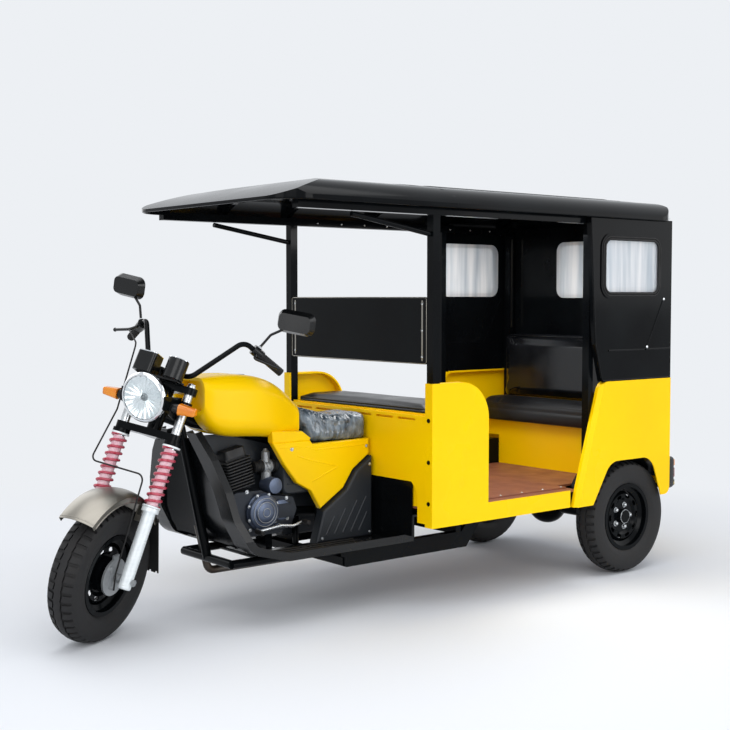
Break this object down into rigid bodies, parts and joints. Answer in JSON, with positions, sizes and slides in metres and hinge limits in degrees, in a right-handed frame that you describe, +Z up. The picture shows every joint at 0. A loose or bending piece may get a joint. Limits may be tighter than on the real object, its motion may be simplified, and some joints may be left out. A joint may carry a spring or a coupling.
{
  "type": "auto rickshaw",
  "caption": "Three-wheeled passenger rickshaw: motorcycle front end with sprung fork and saddle, joined to an open-sided roofed cabin with facing benches over a driven rear axle.",
  "frame": {"origin": "on the floor under the middle of the overall bounding box", "axes": "+Z up; -Y is the vehicle's front, so +Y runs along its length to the rear; +X is the vehicle's left"},
  "size_m": [1.2, 3.2219, 1.885],
  "materials": {
    "yellow_paint": "gloss",
    "black_paint": "gloss",
    "deck_paint": "satin",
    "red_paint": "gloss",
    "engine_alloy": "satin",
    "engine_black": "matte",
    "exhaust_steel": "satin",
    "grey_plastic": "matte",
    "black_plastic": "gloss",
    "seat_vinyl": "satin",
    "window_glass": "gloss",
    "lamp_glass": "gloss",
    "lamp_red": "gloss",
    "lamp_amber": "gloss",
    "spring_steel": "matte",
    "bright_steel": "satin",
    "fork_alloy": "satin",
    "hub_alloy": "satin",
    "stainless": "bright",
    "chrome": "mirror bright",
    "mirror": "mirror bright",
    "rubber": "matte",
    "tyre": "matte"
  },
  "bodies": {
    "chassis": {"front_frame": "black_paint", "chassis_rails": "black_paint", "engine_case": "engine_alloy", "engine_cylinder": "engine_black", "exhaust": "exhaust_steel", "fuel_tank": "yellow_paint", "side_covers": "yellow_paint", "battery_covers": "grey_plastic", "rider_seat": "seat_vinyl", "leg_shields": "black_plastic", "cabin_floor": "deck_paint", "deck_board": "deck_paint", "lower_bulkhead": "black_paint", "cabin_front_wall": "yellow_paint", "front_corner_panels": "yellow_paint", "rear_quarter_panels": "yellow_paint", "rear_panel": "yellow_paint", "upper_quarter_panels": "black_paint", "rear_upper_panel": "black_paint", "cabin_windows": "window_glass", "wheel_houses": "black_paint", "front_roof": "black_paint", "rear_roof": "black_paint", "roof_frame": "black_paint", "cabin_posts": "black_paint", "bench_boxes": "yellow_paint", "bench_cushions": "seat_vinyl", "bench_backrests": "seat_vinyl", "rear_axle": "black_paint", "leaf_springs": "spring_steel", "propeller_shaft": "black_paint", "tail_lamps": "lamp_red"},
    "steering": {"steering_yokes": "black_paint", "fork_tubes": "bright_steel", "fork_sliders": "fork_alloy", "fork_springs": "red_paint", "front_axle": "hub_alloy", "front_fender": "stainless", "mud_flap": "rubber", "headlight_bowl": "chrome", "headlight_lens": "lamp_glass", "lamp_brackets": "black_paint", "indicators": "lamp_amber", "instruments": "black_plastic", "handlebar": "black_paint", "hand_controls": "hub_alloy", "handgrips": "rubber", "mirrors": "black_plastic", "mirror_glasses": "mirror", "control_cables": "rubber"},
    "front_wheel": {"front_tyre": "tyre", "front_rim": "black_paint"},
    "rear_left_wheel": {"rear_left_tyre": "tyre", "rear_left_rim": "black_paint"},
    "rear_right_wheel": {"rear_right_tyre": "tyre", "rear_right_rim": "black_paint"}
  },
  "joints": [
    {"name": "steering_turn", "type": "hinge", "parent": "chassis", "child": "steering", "pos_m": [0, -1.3247, 0.26616], "axis": [0, 0.3746, 0.9272], "range_deg": [-72, 12]},
    {"name": "front_wheel_spin", "type": "hinge", "parent": "steering", "child": "front_wheel", "pos_m": [0.0165, -1.3512, 0.27686], "axis": [0.866, 0.4636, -0.1873], "continuous": true},
    {"name": "rear_left_spin", "type": "hinge", "parent": "chassis", "child": "rear_left_wheel", "pos_m": [0.485, 1.2647, 0.28], "axis": [1, 0, 0], "continuous": true},
    {"name": "rear_right_spin", "type": "hinge", "parent": "chassis", "child": "rear_right_wheel", "pos_m": [-0.485, 1.2647, 0.28], "axis": [1, 0, 0], "continuous": true}
  ]
}
